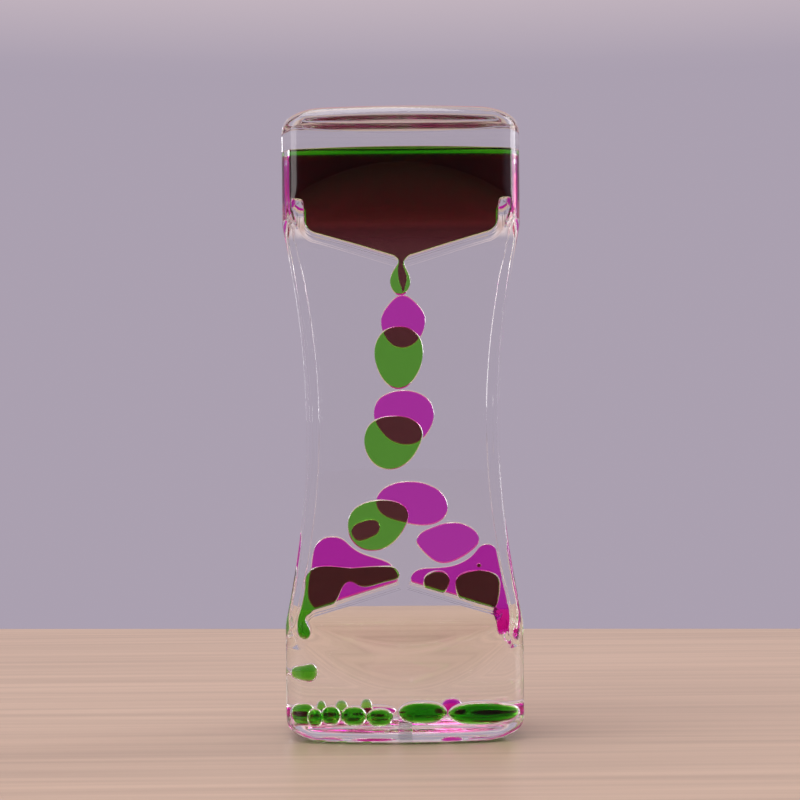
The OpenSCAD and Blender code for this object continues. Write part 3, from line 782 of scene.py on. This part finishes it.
# puddles on the roofs: listed corners [x, height from mid height]
puddleSet = {
    "green_left_roof_puddle": (-1, [[
        (-21.0, -32.1), (-20.4, -31.1), (-19.6, -30.3), (-18.4, -29.8), (-17.1, -29.6), (-15.4, -29.6),
        (-13.1, -29.9), (-11.2, -30.1), (-8.7, -29.9), (-6.3, -29.8), (-2.4, -29.8), (-1.4, -30.4),
        (-0.8, -31.4), (-0.9, -32.3), (-1.7, -32.9), (-3.0, -33.1), (-5.0, -33.6), (-7.0, -34.2),
        (-8.5, -34.4), (-9.6, -34.1), (-10.6, -33.4), (-11.5, -33.1), (-12.3, -33.4), (-12.9, -34.2),
        (-13.4, -35.3), (-13.9, -36.5), (-14.8, -37.9), (-16.9, -38.8), (-19.3, -39.7), (-20.6, -40.4),
        (-20.8, -41.2), (-20.2, -42.3), (-19.6, -43.3), (-19.6, -44.6), (-20.4, -45.5), (-21.7, -45.3),
        (-22.5, -44.0), (-22.7, -41.8), (-22.4, -40.2), (-22.0, -38.9), (-21.5, -36.9), (-21.1, -35.0),
        (-21.0, -33.4)]]),
    "green_right_roof_puddle": (-1, [
        [(3.9, -32.8), (4.3, -31.9), (5.6, -31.1), (7.5, -30.8), (9.0, -31.3), (9.8, -32.4), (9.8, -33.4),
         (9.2, -34.9), (8.0, -36.2), (6.5, -36.0), (4.7, -35.5), (4.0, -34.2)],
        [(10.6, -33.6), (10.8, -32.5), (11.9, -31.5), (13.8, -30.9), (16.3, -30.7), (18.4, -31.1),
         (19.9, -32.0), (20.4, -33.4), (20.3, -35.3), (19.9, -37.6), (19.3, -39.1), (17.9, -39.2),
         (15.4, -38.4), (12.7, -37.7), (11.4, -36.8), (10.8, -35.3)],
        [(15.2, -29.3), (16.4, -29.3), (16.4, -30.4), (15.2, -30.4)]]),
    "magenta_left_roof_puddle": (1, [[
        (-19.9, -30.3), (-19.7, -28.0), (-19.3, -26.2), (-18.6, -25.0), (-17.3, -24.0), (-15.7, -23.6),
        (-13.8, -23.8), (-12.5, -24.5), (-11.4, -25.7), (-9.9, -26.8), (-8.0, -27.7), (-5.5, -28.4),
        (-3.5, -29.1), (-2.2, -30.1), (-1.2, -31.5), (-1.0, -32.8), (-1.6, -34.4), (-5.2, -36.1),
        (-9.5, -37.4), (-14.6, -38.6), (-18.5, -39.6), (-19.7, -38.7), (-20.6, -37.4), (-20.9, -35.5),
        (-20.4, -31.8)]]),
    "magenta_right_roof_puddle": (1, [[
        (1.2, -32.9), (1.5, -32.0), (2.3, -31.2), (3.8, -30.6), (5.9, -30.6), (8.3, -30.5), (10.4, -30.2),
        (12.3, -29.5), (14.0, -28.5), (15.2, -27.3), (16.1, -26.1), (17.2, -25.5), (18.7, -25.6),
        (19.8, -26.5), (20.2, -28.3), (20.6, -30.2), (21.2, -33.1), (21.8, -36.3), (22.4, -39.3),
        (22.6, -41.2), (22.6, -42.6), (22.5, -44.2), (22.2, -45.6), (21.5, -46.6), (20.2, -46.7),
        (18.9, -46.1), (18.4, -44.9), (18.7, -43.9), (19.4, -42.9), (20.2, -42.1), (20.5, -41.3),
        (20.3, -40.6), (19.8, -40.0), (18.1, -39.5), (11.8, -37.9), (7.6, -36.6), (3.4, -35.5),
        (2.0, -34.6), (1.4, -33.6)],
        [(20.7, -47.1), (21.6, -47.1), (21.6, -48.0), (20.7, -48.0)]]),
}
# the trickles are drawn in one piece with the puddle that feeds them
hangingEnds = {
    "green_left_roof_puddle": "green_side_trickle",
    "magenta_right_roof_puddle": "magenta_side_trickle",
}


def joinPieces(name, objects):
    bm = bmesh.new()
    for obj in objects:
        bm.from_mesh(obj.data)
    mesh = objects[0].data.copy()
    mesh.name = name
    bm.to_mesh(mesh)
    bm.free()
    joined = bpy.data.objects.new(name, mesh)
    bpy.context.scene.collection.objects.link(joined)
    for obj in objects:
        bpy.data.objects.remove(obj)
    return joined


for node, (side, rings) in puddleSet.items():
    tint = waterTints[colourOf[side] + "Water"]
    back, front = chamberFaces()
    made = []
    for ring in rings:
        loop = settleLoop(evenLoop(smoothRing(ring), 0.2), 2 * liquidSet["film"])
        rim = liquidSet["thinRim" if len(ring) < 5 or node in hangingEnds else "rim"]
        made.append(waterBody(camel(node) + "Part", relaxLoop(loop, 3), back, front, rim, tint, side))
    piece = joinPieces(camel(node) + "Water", made)
    finishWater(piece, node, more=[hangingEnds[node]] if node in hangingEnds else [])
print("puddles made")


# the threads of water that hang through the gap between the upper wings, from right to left
neckSet = {
    "green": [(0.75, 34.4), (0.75, 33.8), (1.1, 32.9), (1.8, 31.6), (2.1, 30.4), (2.0, 29.2), (1.3, 27.9),
              (0.4, 27.3), (-0.2, 27.3), (-1.0, 27.3), (-1.8, 27.8), (-2.5, 29.0), (-2.7, 30.2),
              (-2.3, 31.8), (-1.4, 33.2), (-0.85, 34.0), (-0.8, 34.6)],
    "magenta": [(0.65, 34.6), (0.65, 34.0), (0.9, 33.0), (1.4, 31.8), (1.4, 30.8), (1.0, 29.5), (0.8, 28.7),
                (0.55, 28.1), (0.2, 27.95), (-0.1, 28.2), (-0.2, 29.1), (-0.7, 30.4), (-0.9, 31.4),
                (-1.0, 33.4), (-0.8, 34.2), (-0.75, 34.6)],
}


def poolOutline(neck):
    film = liquidSet["film"]
    outer, inner = wingLines(2 * film)
    top, low = liquidSet["poolTop"], liquidSet["gapPool"]
    wallZ = np.linspace(low, top, 40)
    wall = np.stack([hollowWidth(wallZ) - 2 * film, wallZ], axis=-1)[::-1]
    skirt = outer[outer[:, 1] > low]
    slope = inner[inner[:, 0] > 1.3][::-1]
    right = np.concatenate([[(0, top)], wall, skirt, slope])
    left = right[::-1] * np.array([-1, 1])
    return np.concatenate([right, smoothLine(neck), left[:-1]])


def smoothLine(points, rounds=3):
    # rounds an open line's corners and keeps its ends
    line = np.array(points, float)
    for _ in range(rounds):
        cut = np.stack([0.75 * line[:-1] + 0.25 * line[1:], 0.25 * line[:-1] + 0.75 * line[1:]], axis=1)
        line = np.concatenate([line[:1], cut.reshape(-1, 2), line[-1:]])
    return line


for side, colour in colourOf.items():
    tint = waterTints[colour + "Pool"]
    back, front = chamberFaces()
    outline = relaxLoop(evenLoop(poolOutline(neckSet[colour]), 0.15), 3)
    piece = waterBody(colour + "TopPoolWater", outline, back, front, liquidSet["poolRim"], tint, side,
                      spacing=0.7)
    finishWater(piece, colour + "_top_pool", more=(colour + "_neck_drop",))
print("pools made")


# beads on the chamber floor, set out by Geometry Nodes: place along X, half-length and half-width
# as shares of the chamber's half-width, then height and distance from the divider
beadSet = {
    "green_floor_drops": (-1, [(-0.888, 0.09, 0.1, 4.9, 5.6), (-0.81, 0.076, 0.1, 4.0, 8.0),
                               (-0.661, 0.092, 0.11, 4.3, 5.4), (-0.457, 0.116, 0.12, 4.4, 7.0),
                               (-0.226, 0.12, 0.12, 4.0, 8.2), (0.151, 0.22, 0.17, 4.9, 6.4),
                               (0.68, 0.303, 0.19, 5.2, 6.2), (-0.74, 0.05, 0.06, 5.0, 2.2),
                               (-0.56, 0.06, 0.05, 4.6, 1.9), (-0.34, 0.055, 0.05, 4.5, 1.8)]),
    "magenta_floor_drops": (1, [(-0.746, 0.228, 0.158, 2.8, 5.6), (-0.272, 0.202, 0.149, 2.6, 6.2),
                                (0.4, 0.1, 0.1, 4.2, 6.4), (0.754, 0.219, 0.167, 3.4, 5.6)]),
}


beadForm = {"rows": 24, "cols": 40, "flatFrom": 0.86, "fullness": 0.8, "lift": 0.15}


def sittingBead():
    # a unit bead: a round body a little flattened where it rests
    parts = MeshParts()
    rows, cols = beadForm["rows"], beadForm["cols"]
    tilt = np.linspace(-math.pi / 2, math.pi / 2, rows)
    turns = np.linspace(0, 2 * math.pi, cols, endpoint=False)
    flat = np.clip(np.sin(tilt), -beadForm["flatFrom"], 1)
    wide = np.cos(tilt) ** beadForm["fullness"]
    wide[0] = wide[-1] = 0
    grid = np.array([[(w * math.cos(t), w * math.sin(t), h) for t in turns] for w, h in zip(wide, flat)])
    parts.add(grid / mm, 0, closed=True)
    bead = parts.build("unitBead", [], merge=0.5)
    for v in bead.data.vertices:
        v.co.z -= midZ * mm
    return bead


def beadTree(bead, material):
    tree = bpy.data.node_groups.new("beadsOnFloor", "GeometryNodeTree")
    tree.interface.new_socket("Geometry", in_out="INPUT", socket_type="NodeSocketGeometry")
    size = tree.interface.new_socket("Size", in_out="INPUT", socket_type="NodeSocketFloat")
    size.default_value = 1.0
    tree.interface.new_socket("Geometry", in_out="OUTPUT", socket_type="NodeSocketGeometry")
    nodes, links = tree.nodes, tree.links
    start, end = nodes.new("NodeGroupInput"), nodes.new("NodeGroupOutput")
    info = nodes.new("GeometryNodeObjectInfo")
    info.inputs["Object"].default_value = bead
    stretch = nodes.new("GeometryNodeInputNamedAttribute")
    stretch.data_type = "FLOAT_VECTOR"
    stretch.inputs["Name"].default_value = "stretch"
    scale = nodes.new("ShaderNodeVectorMath")
    scale.operation = "SCALE"
    place = nodes.new("GeometryNodeInstanceOnPoints")
    real = nodes.new("GeometryNodeRealizeInstances")
    paint = nodes.new("GeometryNodeSetMaterial")
    paint.inputs["Material"].default_value = material
    links.new(start.outputs["Geometry"], place.inputs["Points"])
    links.new(info.outputs["Geometry"], place.inputs["Instance"])
    links.new(stretch.outputs["Attribute"], scale.inputs[0])
    links.new(start.outputs["Size"], scale.inputs["Scale"])
    links.new(scale.outputs["Vector"], place.inputs["Scale"])
    links.new(place.outputs["Instances"], real.inputs["Geometry"])
    links.new(real.outputs["Geometry"], paint.inputs["Geometry"])
    links.new(paint.outputs["Geometry"], end.inputs["Geometry"])
    return tree, size.identifier


def makeBeads(name, side, rows, bead, material):
    half = hollow["halfW"]
    places, stretches = [], []
    for x, hl, hw, height, away in rows:
        px, py = x * half, side * (away + divider["half"])
        floor = -hollow["halfH"] + float(dishDepth(np.array(px), np.array(py), hollow["backing"]))
        middle = floor + height / 2 * beadForm["flatFrom"] + beadForm["lift"]
        places.append(Vector((px, py, middle)) * mm + Vector((0, 0, midZ * mm)))
        stretches.append((hl * half * mm, hw * half * mm, height / 2 * mm))
    mesh = bpy.data.meshes.new(name)
    mesh.from_pydata([tuple(p) for p in places], [], [])
    stretch = mesh.attributes.new("stretch", "FLOAT_VECTOR", "POINT")
    stretch.data.foreach_set("vector", [v for row in stretches for v in row])
    points = bpy.data.objects.new(name + "Points", mesh)
    bpy.context.scene.collection.objects.link(points)
    tree, sizeId = beadTree(bead, material)
    modifier = points.modifiers.new("beads", "NODES")
    modifier.node_group = tree
    modifier[sizeId] = 1.0
    graph = bpy.context.evaluated_depsgraph_get()
    made = bpy.data.meshes.new_from_object(points.evaluated_get(graph))
    made.shade_smooth()
    if not made.materials:
        made.materials.append(material)
    obj = bpy.data.objects.new(name, made)
    bpy.context.scene.collection.objects.link(obj)
    bpy.data.objects.remove(points)
    return obj


bead = sittingBead()
for node, (side, rows) in beadSet.items():
    beads = makeBeads(camel(node) + "Water", side, rows, bead, waterTints[colourOf[side] + "Bead"])
    finishWater(beads, node)

# the bead that runs down the left side wall
sideBeadSet = {"in": 3.4, "height": -52.3, "radius": 1.85}
centre = Vector((sideBeadSet["in"] - hollow["halfW"], -liquidSet["chamberY"], sideBeadSet["height"] + midZ))
ball = bead.data.copy()
ball.materials.append(waterTints["greenBead"])
for v in ball.vertices:
    v.co = (v.co.normalized() * sideBeadSet["radius"] + centre) * mm
sideBead = bpy.data.objects.new("greenSideBeadWater", ball)
bpy.context.scene.collection.objects.link(sideBead)
ball.shade_smooth()
finishWater(sideBead, "green_side_bead", "green_side_bead")
bpy.data.objects.remove(bead)
print("beads made")

# CAD pieces that stay as they are get their finish here
keptFinish = {"divider_plate": insertClear, "front_clear_oil": oilClear, "rear_clear_oil": oilClear}
for node, material in keptFinish.items():
    mesh = frame["nodes"][node].data
    mesh.materials.clear()
    mesh.materials.append(material)

# stage and light
stageSet = {
    "tableColor": (0.49, 0.365, 0.285),
    # sine of the height above the horizon, colour: the lilac wall, beige below it, warm light above
    "skyColors": [(-0.22, (0.52, 0.39, 0.35)), (-0.18, (0.405, 0.352, 0.435)),
                  (0.2, (0.405, 0.352, 0.435)), (0.3, (0.75, 0.62, 0.64)),
                  (0.42, (0.58, 0.4, 0.36)), (0.8, (0.62, 0.45, 0.4))],
    "zenith": (0.9, 0.88, 0.9),
    "farEdge": 197.0,
    "edgeTurn": -0.075,  # rise of the table's far edge per unit to the right
    "reach": 2500.0,
    "grainScale": (6.0, 260.0, 1.0),
    "grainDark": 0.8,
    "roughness": 0.38,
    "tableReflectionShade": 0.25,  # painted shade: the share of the table's colour kept where the table is seen in reflections
    "behindCamera": 0.1,  # how much of the wall's light the glossy faces mirror from the camera's side
}


def makeStage(s):
    material = bpy.data.materials.new("paleTable")
    material.use_nodes = True
    nodes, links = material.node_tree.nodes, material.node_tree.links
    shader = nodes["Principled BSDF"]
    shader.inputs["Roughness"].default_value = s["roughness"]
    place = nodes.new("ShaderNodeTexCoord")
    stretch = nodes.new("ShaderNodeMapping")
    stretch.inputs["Scale"].default_value = s["grainScale"]
    grain = nodes.new("ShaderNodeTexNoise")
    grain.inputs["Scale"].default_value = 1.0
    grain.inputs["Detail"].default_value = 5.0
    ramp = nodes.new("ShaderNodeMapRange")
    ramp.inputs["From Min"].default_value = 0.35
    ramp.inputs["From Max"].default_value = 0.65
    mix = nodes.new("ShaderNodeMix")
    mix.data_type = "RGBA"
    mix.inputs["A"].default_value = (*s["tableColor"], 1)
    mix.inputs["B"].default_value = (*[c * s["grainDark"] for c in s["tableColor"]], 1)
    links.new(place.outputs["Object"], stretch.inputs["Vector"])
    links.new(stretch.outputs["Vector"], grain.inputs["Vector"])
    links.new(grain.outputs["Fac"], ramp.inputs["Value"])
    links.new(ramp.outputs["Result"], mix.inputs["Factor"])
    # painted shade: the table's colour is darkened where it is seen in reflections, so the glossy faces
    # mirror only a dim table
    path = nodes.new("ShaderNodeLightPath")
    dim = nodes.new("ShaderNodeMix")
    dim.data_type = "RGBA"
    dim.inputs["B"].default_value = (*[c * s["tableReflectionShade"] for c in s["tableColor"]], 1)
    links.new(path.outputs["Is Reflection Ray"], dim.inputs["Factor"])
    links.new(mix.outputs["Result"], dim.inputs["A"])
    links.new(dim.outputs["Result"], shader.inputs["Base Color"])
    r, far, turn = s["reach"], s["farEdge"], s["edgeTurn"]
    mesh = bpy.data.meshes.new("table")
    corners = [(-r, -r, 0), (r, -r, 0), (r, far + turn * r, 0), (-r, far - turn * r, 0)]
    mesh.from_pydata([tuple(c * mm for c in p) for p in corners], [], [(0, 1, 2, 3)])
    mesh.materials.append(material)
    table = bpy.data.objects.new("table", mesh)
    bpy.context.scene.collection.objects.link(table)


def makeWorld(s):
    world = bpy.data.worlds.new("studio")
    bpy.context.scene.world = world
    world.use_nodes = True
    nodes, links = world.node_tree.nodes, world.node_tree.links
    ground = nodes["Background"]
    place = nodes.new("ShaderNodeTexCoord")
    split = nodes.new("ShaderNodeSeparateXYZ")
    ramp = nodes.new("ShaderNodeValToRGB")
    ramp.color_ramp.elements[0].position = 0.0
    ramp.color_ramp.elements[0].color = (*s["tableColor"], 1)
    ramp.color_ramp.elements[1].position = 1.0
    ramp.color_ramp.elements[1].color = (*s["zenith"], 1)
    for height, color in s["skyColors"]:
        ramp.color_ramp.elements.new((height + 1) / 2).color = (*color, 1)
    rise = nodes.new("ShaderNodeMapRange")
    rise.inputs["From Min"].default_value = -1.0
    links.new(place.outputs["Generated"], split.inputs["Vector"])
    links.new(split.outputs["Z"], rise.inputs["Value"])
    links.new(rise.outputs["Result"], ramp.inputs["Fac"])
    # the room behind the camera is dark, which keeps the front faces clear
    front = nodes.new("ShaderNodeMapRange")
    front.inputs["From Min"].default_value = -0.3
    front.inputs["From Max"].default_value = -0.7
    path = nodes.new("ShaderNodeLightPath")
    both = nodes.new("ShaderNodeMath")
    both.operation = "MULTIPLY"
    dim = nodes.new("ShaderNodeMapRange")
    dim.inputs["To Min"].default_value = 1.0
    dim.inputs["To Max"].default_value = s["behindCamera"]
    links.new(split.outputs["Y"], front.inputs["Value"])
    links.new(front.outputs["Result"], both.inputs[0])
    links.new(path.outputs["Is Reflection Ray"], both.inputs[1])
    links.new(both.outputs["Value"], dim.inputs["Value"])
    links.new(ramp.outputs["Color"], ground.inputs["Color"])
    links.new(dim.outputs["Result"], ground.inputs["Strength"])


def softbox(name, place, target, size, power, color):
    data = bpy.data.lights.new(name, "AREA")
    data.shape = "RECTANGLE"
    data.size, data.size_y = size
    data.energy = power
    data.color = color
    lamp = bpy.data.objects.new(name, data)
    bpy.context.scene.collection.objects.link(lamp)
    lamp.location = place
    lamp.rotation_euler = (Vector(target) - Vector(place)).to_track_quat("-Z", "Y").to_euler()


makeStage(stageSet)
makeWorld(stageSet)
# place and size in metres, power in watts
softboxSet = {
    "top": ((-0.25, -0.1, 1.1), (0.9, 0.9), 9.0, (1, 0.98, 0.96)),
    "right": ((0.9, 0.25, 0.45), (0.5, 0.8), 5.0, (1, 1, 1)),
    "left": ((-0.95, -0.25, 0.5), (0.5, 0.8), 3.0, (1, 0.97, 0.95)),
}
for name, (place, size, power, color) in softboxSet.items():
    softbox(name + "Softbox", place, (0, 0, 0.066), size, power, color)

scene = bpy.context.scene
scene.view_settings.view_transform = "Standard"
scene.cycles.max_bounces = 110  # light runs a long way round in the thick corners
scene.cycles.transmission_bounces = 110
scene.cycles.glossy_bounces = 24
scene.cycles.transparent_max_bounces = 16
scene.cycles.volume_bounces = 0
scene.cycles.use_denoising = True
scene.cycles.sample_clamp_indirect = 8.0
print("stage and lights made")
